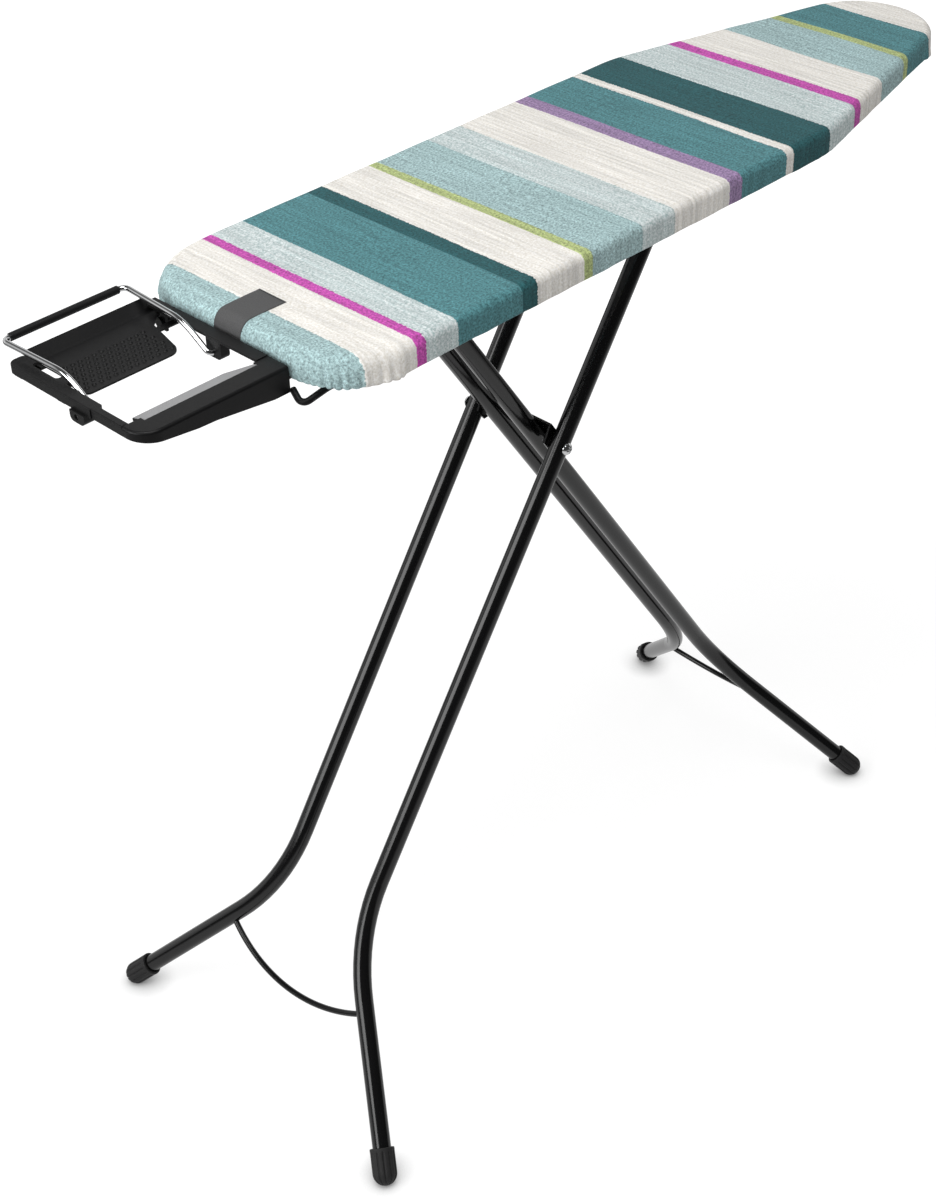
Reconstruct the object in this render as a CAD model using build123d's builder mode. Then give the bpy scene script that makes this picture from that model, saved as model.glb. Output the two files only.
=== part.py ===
# Folding ironing board: a padded pan on two crossed leg pairs, with an iron rest at its rear end.
# Millimetres, +Z up, +X to the nose, +Y to the far side; the origin is on the floor under the middle.
import os
from math import cos, radians, sin, tan

from build123d import *

# Driving dimensions of the top
board_length = 1100.0
board_width = 324.0
board_top = 1014.0
cover_depth = 31.0
rear_corner_radius = 80.0
nose_radius = 88.0
taper_angle = 14.5
knee_radius = 200.0
cloth = 1.2
pad_thickness = 6.5
sheet = 1.0
hem_width = 38.0
edge_radius = 6.0

# Driving dimensions of the legs
leg_angle = 55.9
pivot_from_rear = 396.0
pivot_height = 716.0
axle_height = 978.0
tube_radius = 11.0
tube_wall = 1.5
bend_radius = 220.0
flare_angle = 37.2
knee_below_pivot = 632.0
outer_half_gap = 66.3
inner_half_gap = 26.7
tube_overrun = 12.0
foot_radius = 13.5
foot_centre_height = 12.9

# Driving dimensions of the iron rest
rest_reach = 183.5
rest_top = 999.0
rest_rail_depth = 10.0

# Fits
gap = 0.05
slide_gap = 0.35

# Shared places
half_width = board_width / 2
rear_x = (rest_reach - board_length) / 2
nose_x = rear_x + board_length
panel_top = board_top - cloth - pad_thickness - 2 * gap
panel_under = panel_top - sheet
cover_under = board_top - cover_depth
rim_under = cover_under + cloth + gap
pivot_x = rear_x + pivot_from_rear
leg_run = cos(radians(leg_angle))
leg_rise = sin(radians(leg_angle))
upper_leg = (axle_height - pivot_height) / leg_rise
lower_leg = (pivot_height - foot_centre_height) / leg_rise
inner_axle_x = pivot_x - upper_leg * leg_run
outer_axle_x = pivot_x + upper_leg * leg_run
folded_angle = 2.5
folded_pivot_x = inner_axle_x + upper_leg * cos(radians(folded_angle))
folded_axle_x = folded_pivot_x + upper_leg * cos(radians(folded_angle))

os.makedirs("parts", exist_ok=True)


def save(builder, name):
    """Label a finished piece and write it as its own file."""
    builder.part.label = name
    export_step(builder.part, f"parts/{name}.step")


def block(x_low, x_high, y_low, y_high, z_low, z_high, mode=Mode.ADD):
    """A straight block between two corners."""
    middle = ((x_low + x_high) / 2, (y_low + y_high) / 2, (z_low + z_high) / 2)
    with Locations(middle):
        Box(x_high - x_low, y_high - y_low, z_high - z_low, mode=mode)


def bar(start, end, radius, mode=Mode.ADD):
    """A round bar or bore between two points."""
    run = Vector(*end) - Vector(*start)
    with Locations(Plane(origin=start, z_dir=run)):
        Cylinder(radius, run.length, align=(Align.CENTER, Align.CENTER, Align.MIN), mode=mode)


def wire(points, bends, radius):
    """A round wire through points, with a bend radius at each inner point."""
    with BuildLine() as path:
        FilletPolyline(*points, radius=bends)
    with BuildSketch(Plane(origin=path.line @ 0, z_dir=path.line % 0)) as section:
        Circle(radius)
    sweep(sections=section.sketch, path=path.line)


def plan(inset):
    """The board seen from above, drawn in by an inset on every side."""
    nose_centre = nose_x - nose_radius
    nose_in = nose_radius - inset
    side = half_width - inset
    corner = rear_corner_radius - inset
    taper = radians(taper_angle)
    meet_x = nose_centre + nose_in * sin(taper)
    meet_y = nose_in * cos(taper)
    knee_in = knee_radius - inset
    knee_x = meet_x - (side - meet_y) / tan(taper) - knee_in * tan(taper / 2)
    with BuildLine() as outline:
        Line((rear_x + inset, 0), (rear_x + inset, side - corner))
        JernArc((rear_x + inset, side - corner), (0, 1), corner, -90)
        Line((rear_x + inset + corner, side), (knee_x, side))
        knee = JernArc((knee_x, side), (1, 0), knee_in, -taper_angle)
        Line(knee @ 1, (meet_x, meet_y))
        JernArc((meet_x, meet_y), (cos(taper), -sin(taper)), nose_in, taper_angle - 90)
        mirror(about=Plane.XZ)
    make_face(outline.edges())


# Places where rivets hold things under the pan
rivet_radius = 2.4
rail_inner_face = outer_half_gap + tube_radius + 3.0
rail_sheet = 2.0
rail_flange = 16.0
rail_start = folded_pivot_x + 22.0
rail_end = folded_axle_x + 16.0
rail_rivet_in = 18.0
rail_rivet_y = rail_inner_face + rail_sheet + rail_flange / 2
rail_rivet_x = [rail_start + rail_rivet_in, (rail_start + rail_end) / 2, rail_end - rail_rivet_in]
hinge_half_length = 30.0
hinge_flange_y = 56.0
hinge_rivet_x = 18.0
lever_y = -113.0
lever_z = 975.0
lever_clip_x = [rear_x + 110.0, rear_x + 500.0]
lever_clip_rivet = 12.0
socket_x = rear_x + 95.0
socket_rivet_x = 26.0
rod_y = {"left": 104.0, "right": -70.0}
rivet_points = []
for side in (1, -1):
    rivet_points += [(x, side * rail_rivet_y) for x in rail_rivet_x]
    rivet_points += [(inner_axle_x + end * hinge_rivet_x, side * hinge_flange_y) for end in (1, -1)]
for y in rod_y.values():
    rivet_points += [(socket_x + end * socket_rivet_x, y) for end in (1, -1)]
rivet_points += [(x + lever_clip_rivet, lever_y) for x in lever_clip_x]

# Top panel: a pressed steel pan with a rounded, turned-down rim and steam holes
vent_radius = 8.0
vent_pitch = 46.0
vent_columns = 17
vent_rows = 5
vent_start_x = rear_x + 150.0
vents_middle_x = vent_start_x + vent_pitch * (vent_columns - 1) / 2
pan_edge = 6.0
with BuildPart() as panel_hollow:
    with BuildSketch(Plane.XY.offset(rim_under)):
        plan(cloth + gap + sheet)
    extrude(amount=panel_under - rim_under)
    fillet(panel_hollow.faces().sort_by(Axis.Z)[-1].edges(), pan_edge - sheet)
with BuildPart() as top_panel:
    with BuildSketch(Plane.XY.offset(rim_under)):
        plan(cloth + gap)
    extrude(amount=panel_top - rim_under)
    fillet(top_panel.faces().sort_by(Axis.Z)[-1].edges(), pan_edge)
    add(panel_hollow.part, mode=Mode.SUBTRACT)
    with BuildSketch(Plane.XY.offset(panel_under)):
        with Locations((vents_middle_x, 0)):
            with GridLocations(vent_pitch, vent_pitch, vent_columns, vent_rows):
                Circle(vent_radius)
        with Locations(*rivet_points):
            Circle(rivet_radius + gap)
    extrude(amount=sheet, mode=Mode.SUBTRACT)
save(top_panel, "top_panel")

# Foam pad: a felt and foam layer between the pan and the cover
with BuildPart() as foam_pad:
    with BuildSketch(Plane.XY.offset(panel_top + gap)):
        plan(cloth + gap)
    extrude(amount=pad_thickness)
    top_edges = foam_pad.faces().sort_by(Axis.Z)[-1].edges()
    fillet(top_edges, edge_radius - cloth)
save(foam_pad, "foam_pad")

# Cover: cotton drawn over pad and rim, with its hem turned in underneath
with BuildPart() as cover_hollow:
    with BuildSketch(Plane.XY.offset(cover_under + cloth)):
        plan(cloth)
    extrude(amount=cover_depth - 2 * cloth)
    fillet(cover_hollow.faces().sort_by(Axis.Z)[-1].edges(), edge_radius - cloth)
with BuildPart() as cover:
    with BuildSketch(Plane.XY.offset(cover_under)):
        plan(0)
    extrude(amount=cover_depth)
    fillet(cover.faces().sort_by(Axis.Z)[-1].edges(), edge_radius)
    add(cover_hollow.part, mode=Mode.SUBTRACT)
    with BuildSketch(Plane.XY.offset(cover_under)):
        plan(hem_width)
    extrude(amount=cloth, mode=Mode.SUBTRACT)
save(cover, "cover")

# Cover label: a woven tab folded over the rear edge of the cover
label_middle_y = 7.0
label_width = 40.0
label_length = 60.0
label_drop = 26.0
label_thickness = 0.6
label_inner = edge_radius + gap
label_outer = label_inner + label_thickness
with BuildPart() as cover_label:
    with BuildSketch(Plane.XZ.offset(-label_middle_y)):
        with BuildLine():
            Line((rear_x + label_length, board_top + gap), (rear_x + edge_radius, board_top + gap))
            JernArc((rear_x + edge_radius, board_top + gap), (-1, 0), label_inner, 90)
            Line((rear_x - gap, board_top - edge_radius), (rear_x - gap, board_top - label_drop))
            low_x = rear_x - gap - label_thickness
            Line((rear_x - gap, board_top - label_drop), (low_x, board_top - label_drop))
            Line((low_x, board_top - label_drop), (low_x, board_top - edge_radius))
            JernArc((low_x, board_top - edge_radius), (0, 1), label_outer, -90)
            high_z = board_top + gap + label_thickness
            Line((rear_x + edge_radius, high_z), (rear_x + label_length, high_z))
            Line((rear_x + label_length, high_z), (rear_x + label_length, board_top + gap))
        make_face()
    extrude(amount=label_width / 2, both=True)
save(cover_label, "cover_label")

# Slide rails: notched steel rails under the pan that carry the outer legs' axle
axle_radius = 4.0
slot_half = axle_radius + slide_gap
notch_count = 6
notch_pitch = 42.0
notch_rise = 5.0
rail_depth = 16.0
rail_under = axle_height - rail_depth
through = 2.0
for side, name in ((1, "slide_rail_left"), (-1, "slide_rail_right")):
    face_y = side * rail_inner_face
    web_y = face_y + side * rail_sheet
    flange_y = web_y + side * rail_flange
    with BuildPart() as slide_rail:
        block(rail_start, rail_end, *sorted((face_y, web_y)), rail_under, panel_under - gap)
        block(rail_start, rail_end, *sorted((web_y, flange_y)),
              panel_under - gap - rail_sheet, panel_under - gap)
        with BuildSketch(Plane.XZ.offset(-web_y - side * through / 2)):
            with Locations(((outer_axle_x + folded_axle_x) / 2, axle_height)):
                SlotCenterToCenter(folded_axle_x - outer_axle_x, 2 * slot_half)
            for notch in range(notch_count):
                with Locations((outer_axle_x + notch * notch_pitch, axle_height + notch_rise / 2)):
                    SlotCenterToCenter(notch_rise, 2 * slot_half, rotation=90)
        extrude(amount=side * (rail_sheet + through), mode=Mode.SUBTRACT)
        with BuildSketch(Plane.XY.offset(panel_under - gap - rail_sheet)):
            with Locations(*[(x, side * rail_rivet_y) for x in rail_rivet_x]):
                Circle(rivet_radius + gap)
        extrude(amount=rail_sheet, mode=Mode.SUBTRACT)
    save(slide_rail, name)

# Hinge bracket: a folded channel under the pan that holds the inner legs' axle
ear_room = 2.5
ear_sheet = 2.5
ear_half = 12.0
hinge_flange_half = 10.0
ear_inner = inner_half_gap + tube_radius + ear_room
ear_outer = ear_inner + ear_sheet
bracket_under = axle_height - ear_half
hinge_edge_y = hinge_flange_y + hinge_flange_half
flange_under = panel_under - gap - rail_sheet
with BuildPart() as hinge_bracket:
    block(inner_axle_x - hinge_half_length, inner_axle_x + hinge_half_length,
          -hinge_edge_y, hinge_edge_y, flange_under, panel_under - gap)
    for side in (1, -1):
        ear_y = sorted((side * ear_inner, side * ear_outer))
        with BuildSketch(Plane.XZ.offset(-ear_y[1])):
            with BuildLine():
                Polyline((inner_axle_x - hinge_half_length, flange_under),
                         (inner_axle_x - ear_half, bracket_under), (inner_axle_x + ear_half, bracket_under),
                         (inner_axle_x + hinge_half_length, flange_under), close=True)
            make_face()
            with Locations((inner_axle_x, axle_height)):
                Circle(axle_radius + gap, mode=Mode.SUBTRACT)
        extrude(amount=ear_outer - ear_inner)
    with BuildSketch(Plane.XY.offset(flange_under)):
        with Locations(*[(inner_axle_x + end * hinge_rivet_x, side * hinge_flange_y)
                         for end in (1, -1) for side in (1, -1)]):
            Circle(rivet_radius + gap)
    extrude(amount=rail_sheet, mode=Mode.SUBTRACT)
save(hinge_bracket, "hinge_bracket")

# Lever clips: two small angles that the release lever turns in
lever_radius = 3.5
clip_half_width = 8.0
clip_half_sheet = 1.5
clip_foot = 20.0
clip_below = 7.0
for x, name in zip(lever_clip_x, ("lever_clip_rear", "lever_clip_front")):
    rivet_x = x + lever_clip_rivet
    with BuildPart() as lever_clip:
        block(x - clip_half_sheet, x + clip_half_sheet, lever_y - clip_half_width, lever_y + clip_half_width,
              lever_z - clip_below, panel_under - gap)
        block(x + clip_half_sheet, x + clip_foot, lever_y - clip_half_width, lever_y + clip_half_width,
              flange_under, panel_under - gap)
        bar((x - clip_foot, lever_y, lever_z), (x + clip_foot, lever_y, lever_z),
            lever_radius + gap, Mode.SUBTRACT)
        bar((rivet_x, lever_y, flange_under - through), (rivet_x, lever_y, panel_under + through),
            rivet_radius + gap, Mode.SUBTRACT)
    save(lever_clip, name)

# Release lever: a bent wire, hooked for a finger at the rear and cranked over the axle in front
catch_x = outer_axle_x + 19.0
catch_z = lever_z + 15.0
finger_y = -rail_inner_face - rail_sheet - 5.0
lever_points = [
    (catch_x, finger_y, catch_z),
    (catch_x, lever_y + 9.0, catch_z),
    (catch_x - 14.0, lever_y, lever_z),
    (rear_x + 20.0, lever_y, lever_z),
    (rear_x - 5.0, lever_y + 10.0, lever_z - 13.0),
    (rear_x + 1.0, lever_y + 29.0, lever_z - 5.0),
]
lever_bends = [7.0, 8.0, 14.0, 8.0]
with BuildPart() as release_lever:
    wire(lever_points, lever_bends, lever_radius)
save(release_lever, "release_lever")

# Lever catch: a steel shoe pressed on the lever's front finger
catch_half = 7.0
catch_length = 8.0
catch_cap = 1.0
catch_below = 5.0
catch_above = 5.0
with BuildPart() as lever_catch:
    block(catch_x - catch_half, catch_x + catch_half, finger_y - catch_length, finger_y + catch_cap,
          catch_z - catch_below, catch_z + catch_above)
    bar((catch_x, finger_y - catch_length - catch_cap, catch_z), (catch_x, finger_y + gap, catch_z),
        lever_radius + gap, Mode.SUBTRACT)
save(lever_catch, "lever_catch")

# Lever spring: a leaf that presses the lever's finger down
leaf_room = 0.3
leaf_low = catch_z + lever_radius + leaf_room
leaf_top = panel_under - gap
leaf_sheet = 0.8
leaf_width = 5.0
leaf_y = -rail_inner_face - rail_sheet - rail_flange - 0.5
leaf_front = catch_x + 6.0
leaf_rear = catch_x - 34.0
leaf_foot = 12.0
leaf_curl = 1.0
leaf_high_z = leaf_top - leaf_sheet / 2
leaf_low_z = leaf_low + leaf_sheet / 2
with BuildPart() as lever_spring:
    with BuildSketch(Plane.XZ.offset(-leaf_y)):
        with BuildLine():
            leaf = Polyline((leaf_rear, leaf_high_z), (leaf_rear + leaf_foot, leaf_high_z),
                            (catch_x, leaf_low_z), (leaf_front, leaf_low_z + leaf_curl))
        trace(leaf, leaf_sheet)
    extrude(amount=leaf_width)
save(lever_spring, "lever_spring")

# Rest rods and sockets: two rods plug the iron rest into sockets under the pan
rod_radius = 4.0
rod_z = 976.5
rod_collar = 3.0
rod_collar_radius = 5.5
socket_half = 11.0
socket_half_length = 18.0
socket_foot = 36.0
socket_below = 6.5
socket_round = 5.0
web_outer_x = rear_x - 5.0
web_inner_x = rear_x - 8.0
housing_end_x = rear_x - 10.5
rod_seat_x = {"left": web_inner_x, "right": housing_end_x}
for word, y in rod_y.items():
    collar_x = rod_seat_x[word] - gap - rod_collar
    with BuildPart() as rest_rod:
        bar((collar_x, y, rod_z), (socket_x + socket_half_length, y, rod_z), rod_radius)
        bar((collar_x, y, rod_z), (collar_x + rod_collar, y, rod_z), rod_collar_radius)
    save(rest_rod, f"rest_rod_{word}")
    with BuildPart() as rest_socket:
        block(socket_x - socket_half_length, socket_x + socket_half_length, y - socket_half, y + socket_half,
              rod_z - socket_below, panel_under - gap)
        block(socket_x - socket_foot, socket_x + socket_foot, y - socket_half, y + socket_half,
              flange_under, panel_under - gap)
        bar((socket_x - socket_foot, y, rod_z), (socket_x + socket_foot, y, rod_z),
            rod_radius + gap, Mode.SUBTRACT)
        for end in (1, -1):
            rivet_x = socket_x + end * socket_rivet_x
            bar((rivet_x, y, flange_under - through), (rivet_x, y, panel_under + through),
                rivet_radius + gap, Mode.SUBTRACT)
        fillet(rest_socket.edges().filter_by(Axis.X).sort_by(Axis.Z)[:2], socket_round)
    save(rest_socket, f"rest_socket_{word}")

# Panel rivets: one group for everything riveted under the pan
rivet_head = 1.6
rivet_brim = 1.8
with BuildPart() as panel_rivets:
    for x, y in rivet_points:
        head_z = flange_under - gap
        bar((x, y, head_z), (x, y, panel_top), rivet_radius)
        bar((x, y, head_z - rivet_head), (x, y, head_z), rivet_radius + rivet_brim)
save(panel_rivets, "panel_rivets")

# Board rail of the iron rest: a shallow angle along the rear edge, with an ear for the far rod
rail_far_y = 113.0
rail_near_y = -58.0
rest_rail_flange_x = rear_x - 19.0
board_rail_top = rest_top + 1.0
board_rail_sheet = 3.0
board_rail_depth = 12.0
board_rail_corner = 8.0
rod_ear_half = 8.0
with BuildPart() as rest_board_rail:
    block(web_inner_x, web_outer_x, rail_near_y + gap, rail_far_y,
          board_rail_top - board_rail_depth, board_rail_top)
    block(rest_rail_flange_x, web_inner_x, rail_near_y + gap, rail_far_y,
          board_rail_top - board_rail_sheet, board_rail_top)
    far_edges = rest_board_rail.edges().filter_by(Axis.Z).group_by(Axis.Y)[-1]
    fillet(far_edges.sort_by(Axis.X)[0], board_rail_corner)
    block(web_inner_x, web_outer_x, rod_y["left"] - rod_ear_half, rod_y["left"] + rod_ear_half,
          rod_z - rod_ear_half, board_rail_top - board_rail_depth)
    bar((web_inner_x - through, rod_y["left"], rod_z), (web_outer_x + through, rod_y["left"], rod_z),
        rod_radius + gap, Mode.SUBTRACT)
save(rest_board_rail, "rest_board_rail")

# Outer rail of the iron rest: a moulded channel with a slot near its far end and a slim neck
rail_outer_x = rear_x - 181.0
rail_wide_x = rear_x - 158.0
rail_mid_x = rear_x - 167.0
neck_outer_x = rear_x - 180.0
neck_inner_x = rear_x - 171.0
rail_under_z = rest_top - rest_rail_depth
wide_near_y = 49.0
wide_slant = 9.0
neck_start_y = -12.0
neck_slant = 4.0
rail_end_y = 118.0
rail_wall = 3.0
rail_roof = 2.5
rail_corner = 9.0
rail_edge = 1.5
slot_length = 40.0
slot_width = 8.0
slot_middle = (rear_x - 164.0, 76.0)
with BuildPart() as rest_outer_rail:
    with BuildSketch(Plane.XY.offset(rail_under_z)):
        with BuildLine():
            Polyline((rail_outer_x, rail_end_y), (rail_wide_x, rail_end_y), (rail_wide_x, wide_near_y),
                     (rail_mid_x, wide_near_y - wide_slant), (rail_mid_x, neck_start_y),
                     (neck_inner_x, neck_start_y - neck_slant), (neck_inner_x, rail_near_y + gap),
                     (neck_outer_x, rail_near_y + gap), (neck_outer_x, neck_start_y),
                     (rail_outer_x, neck_start_y), close=True)
        make_face()
        with Locations(slot_middle):
            SlotOverall(slot_length, slot_width, rotation=90, mode=Mode.SUBTRACT)
    extrude(amount=rest_rail_depth)
    far_corners = rest_outer_rail.edges().filter_by(Axis.Z).group_by(Axis.Y)[-1]
    fillet(far_corners, rail_corner)
    fillet(rest_outer_rail.faces().sort_by(Axis.Z)[-1].outer_wire().edges(), rail_edge)
    block(rail_outer_x + rail_wall, rail_wide_x + through, wide_near_y, rail_end_y - rail_corner,
          rail_under_z - through, rest_top - rail_roof, Mode.SUBTRACT)
save(rest_outer_rail, "rest_outer_rail")

# Housing of the iron rest: a moulded hood on the near side, deep by the board, with a sloped inner ledge
housing_near_y = -88.0
housing_far_y = -58.0
housing_outer_x = neck_outer_x
housing_wall = 2.5
housing_roof = 5.0
housing_corner = 24.0
housing_edge = 3.0
housing_depth = 28.0
housing_belly = [(rear_x - 24.0, housing_depth), (rear_x - 95.0, 19.0), (rear_x - 116.0, 18.0)]
hollow_outer_x = rear_x - 150.0
ledge_near_y = -64.0
ledge_far_y = -45.0
ledge_drop = 5.5
ledge_sheet = 3.0
ledge_start_x = rear_x - 23.0
ledge_turn_x = rear_x - 54.0
ledge_end_x = rear_x - 158.0
ledge_far_z = rest_top - ledge_drop
ledge_root_z = rest_top - ledge_drop * (housing_far_y - ledge_near_y) / (ledge_far_y - ledge_near_y)
with BuildPart() as rest_housing:
    with BuildSketch(Plane.XZ.offset(-housing_far_y)):
        with BuildLine():
            Polyline((web_outer_x, rest_top), (web_outer_x, rest_top - housing_depth),
                     *[(x, rest_top - depth) for x, depth in housing_belly],
                     (housing_outer_x, rail_under_z), (housing_outer_x, rest_top), close=True)
        make_face()
    extrude(amount=housing_far_y - housing_near_y)
    outer_corner = rest_housing.edges().filter_by(Axis.Z).sort_by(Axis.X)[:2].sort_by(Axis.Y)[0]
    fillet(outer_corner, housing_corner)
    fillet(rest_housing.faces().sort_by(Axis.Y)[0].edges().sort_by(Axis.Z)[-1], housing_edge)
    block(hollow_outer_x, housing_end_x, housing_near_y + housing_wall, housing_far_y - housing_wall,
          rest_top - housing_depth - through, rest_top - housing_roof, Mode.SUBTRACT)
    bar((housing_end_x - through, rod_y["right"], rod_z), (web_outer_x + through, rod_y["right"], rod_z),
        rod_radius + gap, Mode.SUBTRACT)
    with BuildSketch(Plane.YZ.offset(ledge_start_x)):
        with BuildLine():
            Polyline((ledge_near_y, rest_top), (housing_far_y, ledge_root_z),
                     (housing_far_y, rest_top + through), (ledge_near_y, rest_top + through), close=True)
        make_face()
    extrude(amount=ledge_end_x - ledge_start_x, mode=Mode.SUBTRACT)
    with BuildSketch(Plane.YZ.offset(ledge_start_x)):
        with BuildLine():
            Polyline((housing_far_y, ledge_root_z), (ledge_far_y, ledge_far_z),
                     (ledge_far_y, ledge_far_z - ledge_sheet),
                     (housing_far_y, ledge_far_z - ledge_sheet), close=True)
        make_face()
    extrude(amount=ledge_end_x - ledge_start_x)
    with BuildSketch(Plane.XY.offset(ledge_far_z - ledge_sheet - through)):
        with BuildLine():
            Polyline((ledge_turn_x, ledge_far_y + through), (ledge_start_x + through, ledge_far_y + through),
                     (ledge_start_x + through, housing_far_y), (ledge_start_x, housing_far_y), close=True)
        make_face()
    extrude(amount=ledge_drop + ledge_sheet + 2 * through, mode=Mode.SUBTRACT)
save(rest_housing, "rest_housing")

# Heat plate: a pressed steel trough with raised pips, hung between the two rails
plate_sheet = 2.0
plate_z = 990.5
plate_far_y = 122.0
plate_near_y = 24.0
plate_flank = 14.0
plate_lip_z = plate_z + 9.5
plate_bend = 8.0
plate_outer_x = rail_wide_x + 0.5
plate_corners = [6.0, 15.0, 5.0, 5.0, 4.0, 4.0]
plate_middle_z = plate_z - plate_sheet / 2
plate_outline = [
    (plate_outer_x, plate_near_y),
    (rear_x - 46.0, plate_near_y),
    (rear_x - 31.0, 84.0),
    (web_inner_x - 2.0, 100.0),
    (web_inner_x - 2.0, plate_far_y - 1.0),
    (plate_outer_x, plate_far_y - 1.0),
]
plate_tab_y = [36.0, 104.0]
plate_tab_half = 6.0
plate_tab_outer_x = rear_x - 179.5
plate_tab_inner_x = rear_x - 150.0
plate_tab_z = rail_under_z - gap
board_tab_x = rear_x - 40.0
board_tab_y = 74.0
board_tab_half = 4.0
plate_cut_x = rear_x - 151.0
plate_cut_y = (58.0, 97.0)
pip_pitch = 8.5
pip_row_pitch = 15.0
pip_columns = 13
pip_rows = 4
pip_middle = (rear_x - 99.0, 57.0)
pip_radii = (3.0, 1.2)
pip_height = 1.6
with BuildPart() as rest_plate:
    with BuildSketch(Plane.YZ.offset(plate_outer_x)):
        with BuildLine():
            trough = FilletPolyline((plate_far_y, plate_lip_z), (plate_far_y - plate_flank, plate_middle_z),
                                    (plate_near_y - plate_sheet, plate_middle_z), radius=plate_bend)
        trace(trough, plate_sheet)
    extrude(amount=web_inner_x - plate_outer_x)
    with BuildSketch(Plane.XY.offset(plate_z - plate_flank)):
        with BuildLine():
            FilletPolyline(*plate_outline, radius=plate_corners, close=True)
        make_face()
    extrude(amount=2 * plate_flank, mode=Mode.INTERSECT)
    block(plate_outer_x - through, plate_cut_x, *plate_cut_y,
          plate_z - plate_sheet - through, plate_z + through, Mode.SUBTRACT)
    block(board_tab_x, web_inner_x - gap, board_tab_y - board_tab_half, board_tab_y + board_tab_half,
          plate_z - plate_sheet, plate_z)
    for tab_y in plate_tab_y:
        block(plate_tab_outer_x, plate_tab_inner_x, tab_y - plate_tab_half, tab_y + plate_tab_half,
              plate_tab_z - plate_sheet, plate_tab_z)
    with Locations((*pip_middle, plate_z)):
        with GridLocations(pip_pitch, pip_row_pitch, pip_columns, pip_rows):
            Cone(*pip_radii, pip_height, align=(Align.CENTER, Align.CENTER, Align.MIN))
        with GridLocations(pip_pitch, pip_row_pitch, pip_columns - 1, pip_rows - 1):
            Cone(*pip_radii, pip_height, align=(Align.CENTER, Align.CENTER, Align.MIN))
save(rest_plate, "rest_plate")

# Bail clips: two hanging clips that the wire bail turns in
bail_radius = 3.0
bail_axis_y = 8.0
bail_axis_z = 983.5
bail_clip_under = bail_axis_z - 6.0
bail_clip_y = (bail_axis_y - 12.0, bail_axis_y + 10.0)
bail_clip_round = 5.5
clip_outer_x = (rear_x - rest_reach, rear_x - 170.0)
clip_board_x = (rear_x - 19.0, web_inner_x - gap)
flange_low_z = board_rail_top - board_rail_sheet
for name, (low_x, high_x), clip_top in (("bail_clip_outer", clip_outer_x, rail_under_z - gap),
                                        ("bail_clip_board", clip_board_x, flange_low_z - gap)):
    with BuildPart() as bail_clip:
        block(low_x, high_x, *bail_clip_y, bail_clip_under, clip_top)
        bar((low_x - through, bail_axis_y, bail_axis_z), (high_x + through, bail_axis_y, bail_axis_z),
            bail_radius + gap, Mode.SUBTRACT)
        fillet(bail_clip.edges().filter_by(Axis.X).sort_by(Axis.Z)[:2], bail_clip_round)
    save(bail_clip, name)

# Wire bail: a chromed wire that guards the far side of the rest and swings up
bail_outer_x = rear_x - 163.0
bail_inner_x = rear_x - 24.0
bail_flare_x = (rear_x - 167.0, rear_x - 19.0)
bail_cross_y = 142.5
bail_arm_z = 1007.0
bail_bend_y = 46.0
bail_points = [
    (rear_x - 182.0, bail_axis_y, bail_axis_z),
    (bail_outer_x, bail_axis_y, bail_axis_z),
    (bail_outer_x, bail_bend_y, bail_arm_z),
    (bail_flare_x[0], bail_cross_y, bail_arm_z),
    (bail_flare_x[1], bail_cross_y, bail_arm_z),
    (bail_inner_x, bail_bend_y, bail_arm_z),
    (bail_inner_x, bail_axis_y, bail_axis_z),
    (web_inner_x - 1.0, bail_axis_y, bail_axis_z),
]
bail_bends = [5.0, 60.0, 8.0, 8.0, 60.0, 5.0]
with BuildPart() as bail_wire:
    wire(bail_points, bail_bends, bail_radius)
save(bail_wire, "bail_wire")

# Bail sleeve: a soft black tube over the bail's crossbar
sleeve_wall = 1.3
sleeve_in = 9.0
sleeve_start = (bail_flare_x[0] + sleeve_in, bail_cross_y, bail_arm_z)
sleeve_end = (bail_flare_x[1] - sleeve_in, bail_cross_y, bail_arm_z)
with BuildPart() as bail_sleeve:
    bar(sleeve_start, sleeve_end, bail_radius + sleeve_wall)
    bar(sleeve_start, sleeve_end, bail_radius + gap, Mode.SUBTRACT)
save(bail_sleeve, "bail_sleeve")

# Leg pairs: each pair lies in one plane through the pivot; its tubes run straight, then flare to the feet
flare = tan(radians(flare_angle))
pivot_bolt_radius = 4.0
bracket_sheet = 2.5
washer_room = 1.3
bracket_ear_outer = outer_half_gap - tube_radius - washer_room
bracket_ear_inner = bracket_ear_outer - bracket_sheet
foot_length = 34.0
foot_wall_end = 12.0
flute_count = 18
flute_radius = 1.4
flute_out = 0.7
flute_start = 5.0
plug_dome = 2.0
plug_chamfer = 1.5
plug_depth = 7.0
spreader_radius = 3.6
spreader_weld = 0.8


def on_leg(lean, below, across):
    """A point of a leg pair: lean is +1 or -1 along X, below the pivot along the leg, across in Y."""
    return Vector(pivot_x - lean * below * leg_run, across, pivot_height - below * leg_rise)


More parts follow.
